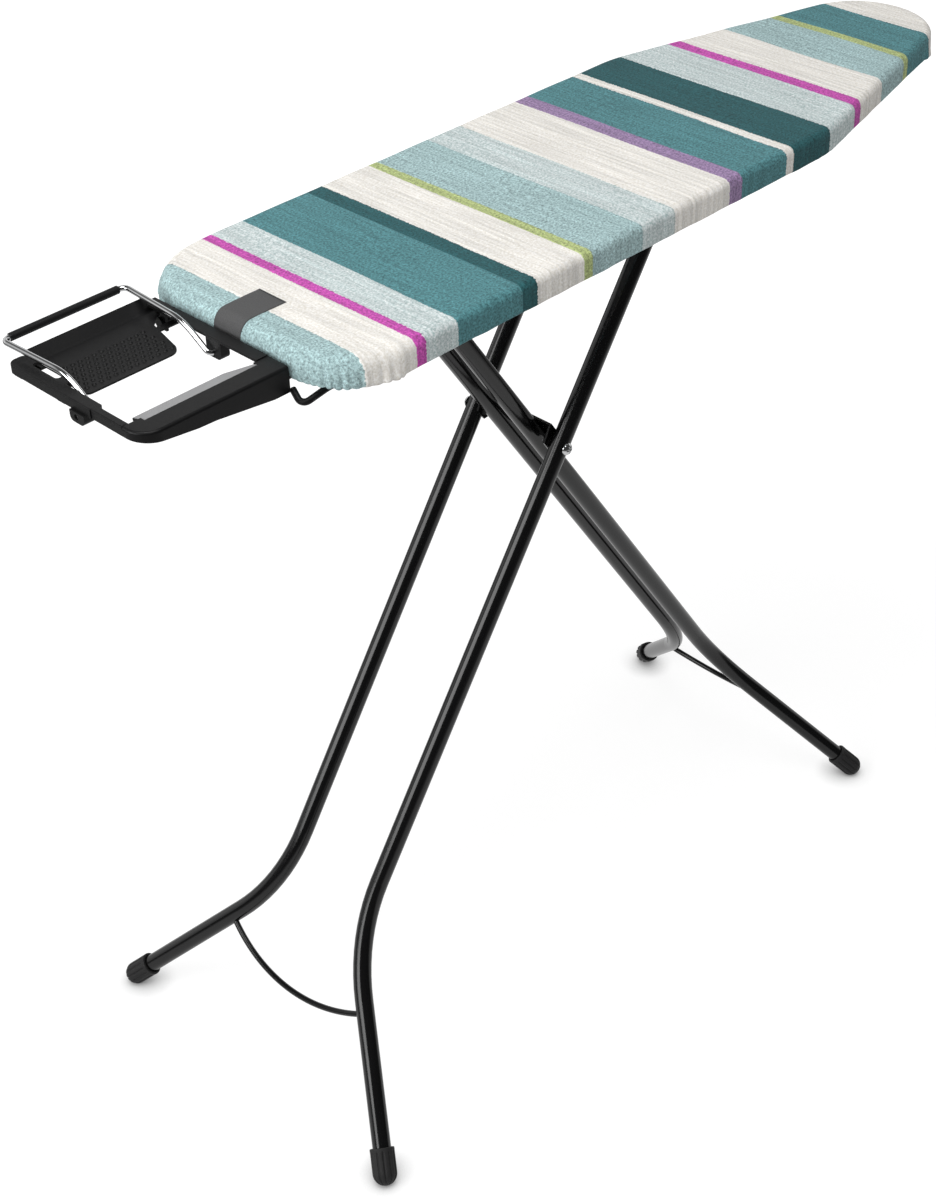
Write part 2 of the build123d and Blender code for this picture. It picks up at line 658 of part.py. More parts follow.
def leg_pair(pair, lean, half_gap):
    """Both tubes, feet and top plugs of one leg pair; lean is +1 where the top leans to the nose."""
    foot_across = half_gap + (lower_leg - knee_below_pivot) * flare
    for side, word in ((1, "left"), (-1, "right")):
        top = on_leg(lean, -upper_leg - tube_overrun, side * half_gap)
        knee = on_leg(lean, knee_below_pivot, side * half_gap)
        foot = on_leg(lean, lower_leg, side * foot_across)
        toward_foot = (foot - knee).normalized()
        tube_end = foot - toward_foot * foot_wall_end
        axle = on_leg(lean, -upper_leg, side * half_gap)
        with BuildPart() as leg:
            with BuildLine() as path:
                FilletPolyline(top, knee, tube_end, radius=bend_radius)
            with BuildSketch(Plane(origin=path.line @ 0, z_dir=path.line % 0)):
                Circle(tube_radius)
                Circle(tube_radius - tube_wall, mode=Mode.SUBTRACT)
            sweep(path=path.line)
            with Locations(Plane(origin=axle, z_dir=(0, 1, 0))):
                Cylinder(axle_radius + gap, 4 * tube_radius, mode=Mode.SUBTRACT)
            if pair == "outer":
                with Locations(Plane(origin=on_leg(lean, 0, side * half_gap), z_dir=(0, 1, 0))):
                    Cylinder(pivot_bolt_radius + gap, 4 * tube_radius, mode=Mode.SUBTRACT)
        save(leg, f"{pair}_leg_{word}")

        # Foot: a fluted cap pushed over the tube's end, flat where it stands
        with BuildPart(Plane(origin=foot, z_dir=toward_foot)) as foot_cap:
            Sphere(foot_radius)
            Cylinder(foot_radius, foot_length, align=(Align.CENTER, Align.CENTER, Align.MAX))
            with Locations((0, 0, -flute_start)):
                with PolarLocations(foot_radius + flute_out, flute_count):
                    Cylinder(flute_radius, foot_length, align=(Align.CENTER, Align.CENTER, Align.MAX),
                             mode=Mode.SUBTRACT)
            with Locations((0, 0, -foot_wall_end + gap)):
                Cylinder(tube_radius + gap, foot_length, align=(Align.CENTER, Align.CENTER, Align.MAX),
                         mode=Mode.SUBTRACT)
            split(bisect_by=Plane.XY, keep=Keep.TOP)
        save(foot_cap, f"{pair}_foot_{word}")

        # Plug: a domed cap that closes the tube's top end
        with BuildPart(Plane(origin=top, z_dir=(top - knee).normalized())) as plug:
            Cone(tube_radius, tube_radius - plug_chamfer, plug_dome,
                 align=(Align.CENTER, Align.CENTER, Align.MIN))
            Cylinder(tube_radius - tube_wall - gap, plug_depth,
                     align=(Align.CENTER, Align.CENTER, Align.MAX))
        save(plug, f"{pair}_plug_{word}")


def spreader(pair, lean, half_gap, below, sag):
    """The bowed wire that ties the two flared tubes together above the feet."""
    end_across = half_gap + (below - knee_below_pivot) * flare - tube_radius + spreader_weld
    with BuildPart() as spread_wire:
        with BuildLine() as path:
            ThreePointArc(on_leg(lean, below, end_across), on_leg(lean, below + sag, 0),
                          on_leg(lean, below, -end_across))
        with BuildSketch(Plane(origin=path.line @ 0, z_dir=path.line % 0)):
            Circle(spreader_radius)
        sweep(path=path.line)
    save(spread_wire, f"{pair}_spreader")


leg_pair("outer", 1, outer_half_gap)
leg_pair("inner", -1, inner_half_gap)
outer_spreader_below, outer_spreader_sag = 708.0, 30.0
inner_spreader_below, inner_spreader_sag = 714.0, 12.0
spreader("outer", 1, outer_half_gap, outer_spreader_below, outer_spreader_sag)
spreader("inner", -1, inner_half_gap, inner_spreader_below, inner_spreader_sag)

# Axles: the outer one slides in the rails, the inner one turns in the hinge bracket
nut_radius = 7.0
nut_room = 1.0
nut_thickness = 3.5
axle_stub = 5.0
for pair, x, reach in (("outer", outer_axle_x, rail_inner_face + rail_sheet + nut_room),
                       ("inner", inner_axle_x, ear_outer + nut_room)):
    with BuildPart() as axle_rod:
        bar((x, -reach - axle_stub, axle_height), (x, reach + axle_stub, axle_height), axle_radius)
    save(axle_rod, f"{pair}_axle")
    with BuildPart() as push_nuts:
        for side in (1, -1):
            bar((x, side * reach, axle_height), (x, side * (reach + nut_thickness), axle_height), nut_radius)
            bar((x, side * (reach - through), axle_height), (x, side * (reach + axle_stub), axle_height),
                axle_radius + gap, Mode.SUBTRACT)
    save(push_nuts, f"{pair}_axle_nuts")

# Spacers on the outer axle keep the two tubes at their distance from the rails
with BuildPart() as axle_spacers:
    for side in (1, -1):
        inner_end = side * (outer_half_gap + tube_radius + gap)
        outer_end = side * (rail_inner_face - slide_gap)
        bar((outer_axle_x, inner_end, axle_height), (outer_axle_x, outer_end, axle_height), nut_radius)
        bar((outer_axle_x, inner_end - side * through, axle_height),
            (outer_axle_x, outer_end + side * through, axle_height), axle_radius + gap, Mode.SUBTRACT)
save(axle_spacers, "outer_axle_spacers")

# Pivot bracket: a folded channel welded over the inner tubes, with an ear for each pivot bolt
bracket_half = 20.0
bracket_tip_half = 9.0
bracket_tip_drop = 8.5
inner_down = Vector(leg_run, 0, -leg_rise)
inner_normal = Vector(leg_rise, 0, leg_run)
pivot_point = Vector(pivot_x, 0, pivot_height)
bracket_plane = Plane(origin=pivot_point, x_dir=inner_down, z_dir=inner_normal)
ear_plane = Plane(origin=pivot_point, x_dir=inner_down, z_dir=(0, 1, 0))
weld = 0.2
with BuildPart() as pivot_bracket:
    with BuildSketch(bracket_plane.offset(tube_radius - weld)):
        Rectangle(2 * bracket_half, 2 * bracket_ear_outer)
    extrude(amount=bracket_sheet)
    for side in (1, -1):
        low = min(side * bracket_ear_inner, side * bracket_ear_outer)
        with BuildSketch(ear_plane.offset(low)) as ear:
            up = 1 if ear_plane.y_dir.dot(inner_normal) > 0 else -1
            root = up * (tube_radius - weld + bracket_sheet / 2)
            with BuildLine():
                Polyline((-bracket_half, root), (bracket_half, root),
                         (bracket_tip_half, -up * bracket_tip_drop),
                         (-bracket_tip_half, -up * bracket_tip_drop), close=True)
            make_face()
            Circle(pivot_bolt_radius + gap, mode=Mode.SUBTRACT)
        extrude(amount=bracket_sheet)
save(pivot_bracket, "pivot_bracket")

# Pivot bolts: cross-slotted dome heads; the outer tubes turn on them
head_radius = 7.5
head_height = 4.8
dome_share = 0.7
bolt_stub = 8.0
cross_length = 9.0
cross_width = 1.6
cross_depth = 3.0
for side, word in ((1, "left"), (-1, "right")):
    head_y = side * (outer_half_gap + tube_radius + gap)
    crown_y = side * head_height
    end_y = side * (bracket_ear_inner - bolt_stub)
    with BuildPart() as pivot_bolt:
        bar((pivot_x, end_y, pivot_height), (pivot_x, head_y, pivot_height), pivot_bolt_radius)
        with BuildSketch(Plane(origin=(pivot_x, head_y, pivot_height), x_dir=(1, 0, 0), z_dir=(0, 0, 1))):
            with BuildLine():
                Line((0, 0), (head_radius, 0))
                shoulder = (head_radius * dome_share, crown_y * dome_share)
                ThreePointArc((head_radius, 0), shoulder, (0, crown_y))
                Line((0, crown_y), (0, 0))
            make_face()
        revolve(axis=Axis((pivot_x, 0, pivot_height), (0, 1, 0)))
        with Locations((pivot_x, head_y + crown_y, pivot_height)):
            Box(cross_length, cross_depth, cross_width, mode=Mode.SUBTRACT)
            Box(cross_width, cross_depth, cross_length, mode=Mode.SUBTRACT)
    save(pivot_bolt, f"pivot_bolt_{word}")

# Pivot washers: thin rings between the bracket's ears and the outer tubes
washer_radius = 8.0
turn_room = 0.3
with BuildPart() as pivot_washers:
    for side in (1, -1):
        start = side * (bracket_ear_outer + turn_room)
        end = side * (outer_half_gap - tube_radius - gap)
        bar((pivot_x, start, pivot_height), (pivot_x, end, pivot_height), washer_radius)
        bar((pivot_x, start - side * through, pivot_height), (pivot_x, end + side * through, pivot_height),
            pivot_bolt_radius + gap, Mode.SUBTRACT)
save(pivot_washers, "pivot_washers")

# Pivot nuts: hexagon nuts on the inner ends of the pivot bolts
hex_radius = 7.0
hex_height = 5.5
with BuildPart() as pivot_nuts:
    for side in (1, -1):
        seat_y = side * (bracket_ear_inner - turn_room)
        with BuildSketch(Plane(origin=(pivot_x, seat_y, pivot_height), z_dir=(0, -side, 0))):
            RegularPolygon(hex_radius, 6)
            Circle(pivot_bolt_radius + gap, mode=Mode.SUBTRACT)
        extrude(amount=hex_height)
save(pivot_nuts, "pivot_nuts")
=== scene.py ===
"""Looks of a folding ironing board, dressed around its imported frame. Metres, +X to the nose, +Z up."""
import math

import bmesh
import bpy
import numpy as np
from mathutils import Matrix, Vector


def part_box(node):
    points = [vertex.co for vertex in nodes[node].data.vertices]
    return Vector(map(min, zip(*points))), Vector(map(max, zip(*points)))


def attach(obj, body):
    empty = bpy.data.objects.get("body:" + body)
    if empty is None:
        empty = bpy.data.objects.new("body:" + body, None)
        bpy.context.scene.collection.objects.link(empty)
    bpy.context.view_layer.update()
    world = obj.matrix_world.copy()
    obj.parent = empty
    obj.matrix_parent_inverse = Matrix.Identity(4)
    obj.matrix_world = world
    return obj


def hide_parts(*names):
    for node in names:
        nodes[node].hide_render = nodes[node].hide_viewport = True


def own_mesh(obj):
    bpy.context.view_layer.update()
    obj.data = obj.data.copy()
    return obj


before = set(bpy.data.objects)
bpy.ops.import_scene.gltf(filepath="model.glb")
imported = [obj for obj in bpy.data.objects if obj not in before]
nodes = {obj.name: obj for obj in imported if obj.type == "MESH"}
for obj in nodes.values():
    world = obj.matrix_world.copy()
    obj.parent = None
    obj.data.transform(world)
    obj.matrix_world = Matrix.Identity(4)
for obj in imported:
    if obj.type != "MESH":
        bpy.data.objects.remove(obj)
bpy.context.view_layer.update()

# Leg tubes: bent steel tube in two crossed pairs, each tied by a bowed wire above its feet.
# A folded channel holds the inner pair together where the pairs cross. All of it is semi-gloss
# black powder coat, with the slight orange peel that such a coat has.
LEG_NODES = ["outer_leg_left", "outer_leg_right", "inner_leg_left", "inner_leg_right",
             "outer_spreader", "inner_spreader", "pivot_bracket"]
patch_scale, peel_strength, dust_speck = 14.0, 0.35, 700.0


def new_finish(name, colour, roughness, metallic=0.0, specular=0.5):
    """A material with one Principled shader; gives the material, its node tree and that shader."""
    material = bpy.data.materials.new(name)
    material.use_nodes = True
    shader = material.node_tree.nodes["Principled BSDF"]
    shader.inputs["Base Color"].default_value = (*colour, 1)
    shader.inputs["Roughness"].default_value = roughness
    shader.inputs["Metallic"].default_value = metallic
    shader.inputs["Specular IOR Level"].default_value = specular
    return material, material.node_tree, shader


def add_node(tree, kind, **values):
    """A node of that kind. Values named in_... set its sockets, and the others its own settings."""
    node = tree.nodes.new(kind)
    for name, value in values.items():
        if name.startswith("in_"):
            node.inputs[name[3:].replace("_", " ").title()].default_value = value
        else:
            setattr(node, name, value)
    return node


def feed(tree, source, socket):
    """Link a source to a socket, or set a plain value on it."""
    if isinstance(source, bpy.types.NodeSocket):
        tree.links.new(source, socket)
    else:
        socket.default_value = source


def combine(tree, operation, *sources, clamp=False):
    """Masks or numbers put together by a Math node; gives its output."""
    node = add_node(tree, "ShaderNodeMath", operation=operation, use_clamp=clamp)
    for source, socket in zip(sources, node.inputs):
        feed(tree, source, socket)
    return node.outputs[0]


def ranged(tree, source, before, after, easing="LINEAR"):
    """A value taken from the range before to the range after, each a low and a high end; gives its output."""
    node = add_node(tree, "ShaderNodeMapRange", interpolation_type=easing)
    node.inputs["From Min"].default_value, node.inputs["From Max"].default_value = before
    node.inputs["To Min"].default_value, node.inputs["To Max"].default_value = after
    tree.links.new(source, node.inputs["Value"])
    return node.outputs["Result"]


def split(tree, vector):
    """The X, Y and Z outputs of a vector."""
    node = add_node(tree, "ShaderNodeSeparateXYZ")
    tree.links.new(vector, node.inputs[0])
    return node.outputs


def noise(tree, vector, scale, **values):
    """Cloudy noise at a place, from 0 to 1; gives its output."""
    node = add_node(tree, "ShaderNodeTexNoise", **values)
    tree.links.new(vector, node.inputs["Vector"])
    feed(tree, scale, node.inputs["Scale"])
    return node.outputs["Fac"]


def mixed(tree, factor, first, second, mode="MIX"):
    """Two colours, each plain or an output, mixed by a mask or a share; gives the mix."""
    node = add_node(tree, "ShaderNodeMix", data_type="RGBA", blend_type=mode)
    feed(tree, factor, node.inputs[0])
    for colour, socket in ((first, node.inputs[6]), (second, node.inputs[7])):
        feed(tree, (*colour, 1) if isinstance(colour, tuple) else colour, socket)
    return node.outputs[2]


def bump(tree, shader, height, strength, distance):
    """Feed a height into the shader's normal."""
    node = add_node(tree, "ShaderNodeBump", in_strength=strength, in_distance=distance)
    tree.links.new(height, node.inputs["Height"])
    tree.links.new(node.outputs["Normal"], shader.inputs["Normal"])


def new_group(name, inputs, outputs):
    """An empty shader node group with float inputs (name: default) and float outputs (names)."""
    group = bpy.data.node_groups.new(name, "ShaderNodeTree")
    for socket, default in inputs.items():
        made = group.interface.new_socket(socket, in_out="INPUT", socket_type="NodeSocketFloat")
        made.default_value = default
    for socket in outputs:
        group.interface.new_socket(socket, in_out="OUTPUT", socket_type="NodeSocketFloat")
    return group, group.nodes.new("NodeGroupInput"), group.nodes.new("NodeGroupOutput")


def place_group(tree, group, **values):
    """A node that holds the group, with its inputs set by name; gives its outputs."""
    node = tree.nodes.new("ShaderNodeGroup")
    node.node_tree = group
    for name, value in values.items():
        node.inputs[name.title()].default_value = value
    return node.outputs


def dress(material, *names):
    """Give a material to frame nodes, in place of what they came with."""
    for name in names:
        slots = nodes[name].data.materials
        slots.clear()
        slots.append(material)


# Surface group: fine peel or grain, and broad uneven patches where hands have been
surface, surface_in, surface_out = new_group("surface_unevenness", {"Grain": 600.0, "Patch": 14.0},
                                              ["Grain", "Patch"])
place = add_node(surface, "ShaderNodeTexCoord").outputs["Object"]
for kind, detail in (("Grain", 2.0), ("Patch", 5.0)):
    cloud = noise(surface, place, surface_in.outputs[kind], in_detail=detail)
    surface.links.new(cloud, surface_out.inputs[kind])

# Dust group: a mask that settles on what faces up, broken by a fine noise
dust, dust_in, dust_out = new_group("settled_dust", {"Speck": 900.0, "Amount": 0.1}, ["Mask"])
place = add_node(dust, "ShaderNodeTexCoord").outputs["Object"]
upward = split(dust, add_node(dust, "ShaderNodeNewGeometry").outputs["Normal"])["Z"]
specks = noise(dust, place, dust_in.outputs["Speck"], in_detail=3.0)
settled = combine(dust, "MULTIPLY", upward, specks, clamp=True)
dust_share = combine(dust, "MULTIPLY", settled, dust_in.outputs["Amount"], clamp=True)
dust.links.new(dust_share, dust_out.inputs["Mask"])


def coated(name, colour, dusty, roughness, grain, depth, dust_amount, specular, metallic=0.0):
    """A coat, moulding or metal: grain bump, patchy roughness (low, high) and dust tinting the colour."""
    material, tree, shader = new_finish(name, colour, roughness[0], metallic, specular)
    uneven = place_group(tree, surface, grain=grain, patch=patch_scale)
    bump(tree, shader, uneven["Grain"], peel_strength, depth)
    tree.links.new(ranged(tree, uneven["Patch"], (0, 1), roughness), shader.inputs["Roughness"])
    mask = place_group(tree, dust, speck=dust_speck, amount=dust_amount)["Mask"]
    tree.links.new(mixed(tree, mask, colour, dusty), shader.inputs["Base Color"])
    return material


tube_lacquer = coated("tube_lacquer", (0.0034, 0.0034, 0.0036), (0.012, 0.012, 0.013), (0.12, 0.19),
                      grain=420.0, depth=0.00004, dust_amount=0.2, specular=0.38)
dress(tube_lacquer, *LEG_NODES)

# Feet: fluted caps of soft black plastic pushed over the tube ends, flat where they stand.
# They are matt, and a little grey with floor dust on their upper side.
foot_rubber = coated("foot_rubber", (0.0135, 0.0135, 0.014), (0.06, 0.059, 0.057), (0.5, 0.68),
                     grain=1500.0, depth=0.0003, dust_amount=0.3, specular=0.22)
leg_slope, leg_flare = math.radians(55.9), 0.75904
foot_inset, foot_flat = 0.0135, 0.0006
cap_radius, cap_lip, cap_bore, bore_end, lip_round = 0.0146, 0.0285, 0.01105, 0.002, 0.0012
groove_count, groove_columns, groove_depth, groove_width = 12, 13, 0.0015, 0.42
groove_ease, tip_plain, tip_ease = 0.003, 0.2, 0.4
merge_distance = 0.00002


def mesh_piece(name, points, quads, material, body):
    """A smooth mesh from points and quads, with doubled points merged, that rides on a body."""
    mesh = bpy.data.meshes.new(name)
    mesh.from_pydata(points.tolist(), [], quads.tolist())
    shape = bmesh.new()
    shape.from_mesh(mesh)
    bmesh.ops.remove_doubles(shape, verts=shape.verts, dist=merge_distance)
    shape.to_mesh(mesh)
    shape.free()
    mesh.polygons.foreach_set("use_smooth", np.ones(len(mesh.polygons), bool))
    mesh.materials.append(material)
    piece = bpy.data.objects.new(name, mesh)
    bpy.context.scene.collection.objects.link(piece)
    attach(piece, body)
    return piece


def grid_piece(name, grid, material, body, closed=True):
    """A mesh from a grid of rows, whose columns close on themselves where it goes round."""
    index = np.arange(grid.shape[0] * grid.shape[1]).reshape(grid.shape[:2])
    across = np.roll(index, -1, axis=1) if closed else index[:, 1:]
    along = index if closed else index[:, :-1]
    quads = np.stack([along[:-1], across[:-1], across[1:], along[1:]], -1).reshape(-1, 4)
    return mesh_piece(name, grid.reshape(-1, 3), quads, material, body)


def smooth(value):
    """An even step from 0 to 1 with no kinks."""
    value = np.clip(value, 0, 1)
    return value ** 2 * (3 - 2 * value)


def foot_cap(name, body, fore, side):
    """A profile turned about the tube's end: up the bore, over a rounded lip, down the grooved wall and round
    the domed tip, which is pressed flat on the floor. Grooves are narrow dips at even turns."""
    low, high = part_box(name)
    centre = np.array([low.x + foot_inset if fore < 0 else high.x - foot_inset,
                       low.y + foot_inset if side < 0 else high.y - foot_inset,
                       low.z + foot_inset - foot_flat])
    axis = np.array([-fore * math.cos(leg_slope), -side * leg_flare, math.sin(leg_slope)])
    axis = axis / np.linalg.norm(axis)
    first = np.cross(axis, (0.0, 0.0, 1.0))
    first = first / np.linalg.norm(first)
    second = np.cross(axis, first)
    lip_angle = np.linspace(0, math.pi / 2, 6)
    tip_angle = np.linspace(0, math.pi / 2, 19)[1:]
    wall_along = np.linspace(cap_lip - lip_round, 0, 16)[1:]
    reach = np.concatenate([[0, cap_bore, cap_bore], cap_radius - lip_round * (1 - np.sin(lip_angle)),
                            np.full_like(wall_along, cap_radius), cap_radius * np.cos(tip_angle)])
    along = np.concatenate([[bore_end, bore_end, cap_lip], cap_lip - lip_round * (1 - np.cos(lip_angle)),
                            wall_along, -cap_radius * np.sin(tip_angle)])
    grooved = np.concatenate([np.zeros(3 + len(lip_angle)),
                              smooth((cap_lip - groove_ease - wall_along) / groove_ease),
                              smooth((np.cos(tip_angle) - tip_plain) / tip_ease)])
    turn = -np.linspace(0, 2 * math.pi, groove_count * groove_columns, endpoint=False)
    groove = np.exp(-(np.sin(turn * groove_count / 2) / groove_width) ** 2)
    radius = reach[:, None] - groove_depth * grooved[:, None] * groove[None]
    grid = centre + along[:, None, None] * axis + radius[..., None] * (
        np.cos(turn)[None, :, None] * first + np.sin(turn)[None, :, None] * second)
    grid[..., 2] = np.maximum(grid[..., 2], 0)
    cap = grid_piece(name + "_cap", grid, foot_rubber, body)
    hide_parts(name)


for pair, fore in (("outer", -1), ("inner", 1)):
    for hand, side in (("left", 1), ("right", -1)):
        foot_cap(f"{pair}_foot_{hand}", f"{pair}_legs", fore, side)

# Bolts, axles, nuts and washers: the legs turn on them.
# Bolt heads are bright chrome, axles and push nuts dull zinc, and the pivot's nuts and washers black.
# Black plugs close the tubes' upper ends.
bright_chrome = coated("bright_chrome", (0.58, 0.585, 0.59), (0.44, 0.44, 0.44), (0.04, 0.12),
                       grain=900.0, depth=0.0001, dust_amount=0.05, specular=0.5, metallic=1.0)
zinc_plate = coated("zinc_plate", (0.48, 0.49, 0.5), (0.36, 0.36, 0.35), (0.3, 0.48),
                    grain=700.0, depth=0.0002, dust_amount=0.2, specular=0.5, metallic=1.0)
moulding_look = {"colour": (0.005, 0.005, 0.0053), "dusty": (0.02, 0.02, 0.02), "roughness": (0.32, 0.44),
                 "grain": 2200.0, "depth": 0.0002, "dust_amount": 0.2, "specular": 0.18}
black_moulding = coated("black_moulding", **moulding_look)
dress(bright_chrome, "pivot_bolt_left", "pivot_bolt_right")
dress(zinc_plate, "outer_axle", "inner_axle", "outer_axle_nuts", "inner_axle_nuts")
dress(black_moulding, "pivot_washers", "pivot_nuts", "outer_axle_spacers",
      "outer_plug_left", "outer_plug_right", "inner_plug_left", "inner_plug_right")

# Pan and what is riveted under it: pressed steel, pierced so that steam goes through.
# The pan is pale grey powder coat; rails, hinge bracket, clips, catch and rivets are zinc-plated.
# Two black sockets under its rear end take the iron rest's rods.
pan_coat = coated("pan_coat", (0.42, 0.43, 0.44), (0.5, 0.49, 0.47), (0.42, 0.58),
                  grain=380.0, depth=0.0005, dust_amount=0.2, specular=0.4)
dress(pan_coat, "top_panel")
dress(zinc_plate, "slide_rail_left", "slide_rail_right", "hinge_bracket",
      "lever_clip_rear", "lever_clip_front", "lever_catch", "panel_rivets")
dress(black_moulding, "rest_socket_left", "rest_socket_right")

# Pad: a layer of felt and foam that lies on the pan under the cover.
# Its edge is cut a little inside the rim and rounds over softly, more so at the rear end
# than along the sides.
board_low, board_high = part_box("cover")
half_width, top_z = board_high.y, board_high.z
rear_corner, nose_radius, knee_radius = 0.080, 0.088, 0.200
taper = math.radians(14.5)
gather_step, nose_step, end_step, side_step = 0.0018, 0.0026, 0.0042, 0.0068
gather_blend = 15


def board_outline():
    """The top seen from above: straight runs and arcs put end to end from the rear middle to the nose tip,
    then mirrored. Gives points, closest where the cloth gathers, outward normals and how much it gathers."""
    rear_x, corner_x, corner_y = board_low.x, board_low.x + rear_corner, half_width - rear_corner
    nose_middle = board_high.x - nose_radius
    meet = np.array([nose_middle + nose_radius * math.sin(taper), nose_radius * math.cos(taper)])
    knee_end_x = (meet[0] - (half_width - meet[1]) / math.tan(taper)
                  + knee_radius * math.tan(taper / 2) * math.cos(taper))
    knee_x = knee_end_x - knee_radius * math.sin(taper)
    knee_end = np.array([knee_end_x, half_width - knee_radius * (1 - math.cos(taper))])
    quarter = math.pi / 2
    pieces = [
        ("run", (rear_x, 0), (rear_x, corner_y), math.pi, 0.45, end_step),
        ("arc", (corner_x, corner_y), rear_corner, (math.pi, quarter), 1.0, gather_step),
        ("run", (corner_x, half_width), (knee_x, half_width), quarter, 0.2, side_step),
        ("arc", (knee_x, half_width - knee_radius), knee_radius, (quarter, quarter - taper), 0.45, end_step),
        ("run", knee_end, meet, quarter - taper, 0.25, side_step),
        ("arc", (nose_middle, 0), nose_radius, (quarter - taper, 0), 0.9, nose_step),
    ]
    points, turns, gathers = [], [], []
    for kind, first, second, turn, gather, spacing in pieces:
        length = np.hypot(*np.subtract(second, first)) if kind == "run" else second * abs(turn[1] - turn[0])
        count = max(2, round(length / spacing))
        share = np.arange(count) / count
        if kind == "run":
            angle = np.full_like(share, turn)
            points.append(np.outer(1 - share, first) + np.outer(share, second))
        else:
            angle = turn[0] + (turn[1] - turn[0]) * share
            points.append(np.array(first) + second * np.stack([np.cos(angle), np.sin(angle)], 1))
        turns.append(angle)
        gathers.append(np.full_like(share, gather))
    points, turns, gathers = np.concatenate(points), np.concatenate(turns), np.concatenate(gathers)
    tip = np.array([[board_high.x, 0.0]])
    points = np.concatenate([points, tip, points[:0:-1] * (1, -1)])
    turns = np.concatenate([turns, [0.0], -turns[:0:-1]])
    gathers = np.concatenate([gathers, gathers[-1:], gathers[:0:-1]])
    window = np.hanning(gather_blend) / np.hanning(gather_blend).sum()
    half = gather_blend // 2
    gathers = np.convolve(np.concatenate([gathers[-half:], gathers, gathers[:half]]), window, "valid")
    return points, np.stack([np.cos(turns), np.sin(turns)], 1), gathers


outline, outward, gather = board_outline()
spine = np.stack([np.clip(outline[:, 0], board_low.x + half_width, board_high.x - nose_radius),
                  np.zeros(len(outline))], 1)
side_turn, rear_turn, rear_reach, rear_ease = 0.0085, 0.0155, 0.13, 0.11
rearness = smooth((board_low.x + rear_reach - outline[:, 0]) / rear_ease)
edge_turn = side_turn + (rear_turn - side_turn) * rearness
edge_rows, pad_rows, pad_under = 7, 21, (0.02, 0.5, 1)
pad_inset, under_inset, pad_lift, pad_slack, cloth_room = 0.0022, 0.001, 0.0002, 0.0004, 0.0016
swell_height = 0.00035


def carried_round(pull, inset, height):
    """A profile carried round the outline: each row stands in by its inset, goes its pull of the way
    to the spine, and lies at its height. Insets and heights are grids of rows by outline points."""
    flat = outline[None] - outward[None] * inset[..., None]
    flat = flat + (spine[None] - flat) * pull[:, None, None]
    return np.dstack([flat, height])


def swell(x, y):
    """Slow rise and fall of cloth over a pad: crossed long sine waves, under a millimetre high."""
    return swell_height * (np.sin(37 * x + 1.3) * np.cos(29 * y + 0.4) + 0.7 * np.sin(61 * x - 23 * y + 2.1))


def rolled_edge(radius, drop):
    """An arc from flat towards upright that ends at a drop: how far in each step stands, and how low."""
    angle = np.linspace(0, 1, edge_rows)[:, None] * np.arccos(np.clip(1 - drop / radius, -1, 1))[None]
    return radius * (1 - np.sin(angle)), radius * (1 - np.cos(angle))


def rows(count, value):
    """The same value, or the same line of values round the outline, for a count of rows."""
    return np.broadcast_to(value, (count, len(outline)))


pad_top = top_z - cloth_room
pad_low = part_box("foam_pad")[0].z + pad_lift
turn_in, turn_drop = rolled_edge(edge_turn - cloth_room, np.full(len(outline), pad_top - pad_low - pad_slack))
pad_pull = np.concatenate([np.linspace(1, 0, pad_rows + 1)[:-1], np.zeros(edge_rows), pad_under])
pad_in = pad_inset + np.concatenate([rows(pad_rows, turn_in[0]), turn_in,
                                     rows(len(pad_under), turn_in[-1] + under_inset)])
pad_height = np.concatenate([rows(pad_rows, pad_top), pad_top - turn_drop, rows(len(pad_under), pad_low)])
pad_grid = carried_round(pad_pull, pad_in, pad_height)
pad_grid[:pad_rows, :, 2] += swell(pad_grid[:pad_rows, :, 0], pad_grid[:pad_rows, :, 1])
pad_felt, tree, shader = new_finish("pad_felt", (0.72, 0.7, 0.66), 0.95, specular=0.2)
fibres = place_group(tree, surface, grain=1100.0, patch=60.0)
bump(tree, shader, fibres["Grain"], 0.6, 0.0008)
felt = mixed(tree, fibres["Patch"], (0.64, 0.62, 0.58), (0.8, 0.78, 0.74))
tree.links.new(felt, shader.inputs["Base Color"])
pad = grid_piece("pad", pad_grid, pad_felt, "top")
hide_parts("foam_pad")

# Cover: printed cotton drawn over the pad and rim and gathered underneath by a cased hem.
# Cloth puckers where it goes round the rear corners and the nose, more so towards the hem.
under_edge, hem_width, casing, cloth_thickness = 0.0040, 0.036, 0.0026, 0.0009
top_rows, side_rows, under_rows, hem_rows, casing_rows = 29, 7, 5, 6, 9
turn_in, turn_drop = rolled_edge(edge_turn, edge_turn)
side_low = board_low.z + under_edge
side_share = np.linspace(0, 1, side_rows + 2)[1:-1, None]
under_angle = np.linspace(0, math.pi / 2, under_rows)[:, None]
casing_angle = np.linspace(0, 1.6 * math.pi, casing_rows + 1)[1:, None]
hem_in = np.linspace(under_edge, hem_width, hem_rows + 1)[1:, None]
cover_pull = np.concatenate([np.linspace(1, 0, top_rows + 1)[:-1],
                             np.zeros(edge_rows + side_rows + under_rows + hem_rows + casing_rows)])
cover_inset = np.concatenate([
    rows(top_rows, turn_in[0]), turn_in, rows(side_rows, 0.0),
    rows(under_rows, under_edge * (1 - np.cos(under_angle))), rows(hem_rows, hem_in),
    rows(casing_rows, hem_width + casing * np.sin(casing_angle))])
cover_height = np.concatenate([
    rows(top_rows, top_z), top_z - turn_drop, (top_z - edge_turn) * (1 - side_share) + side_low * side_share,
    rows(under_rows, side_low - under_edge * np.sin(under_angle)), rows(hem_rows, board_low.z),
    rows(casing_rows, board_low.z + casing * (1 - np.cos(casing_angle)))])
cover_grid = carried_round(cover_pull, cover_inset, cover_height)
step = np.hypot(*(np.roll(outline, -1, 0) - outline).T)
loop_length = step.sum()
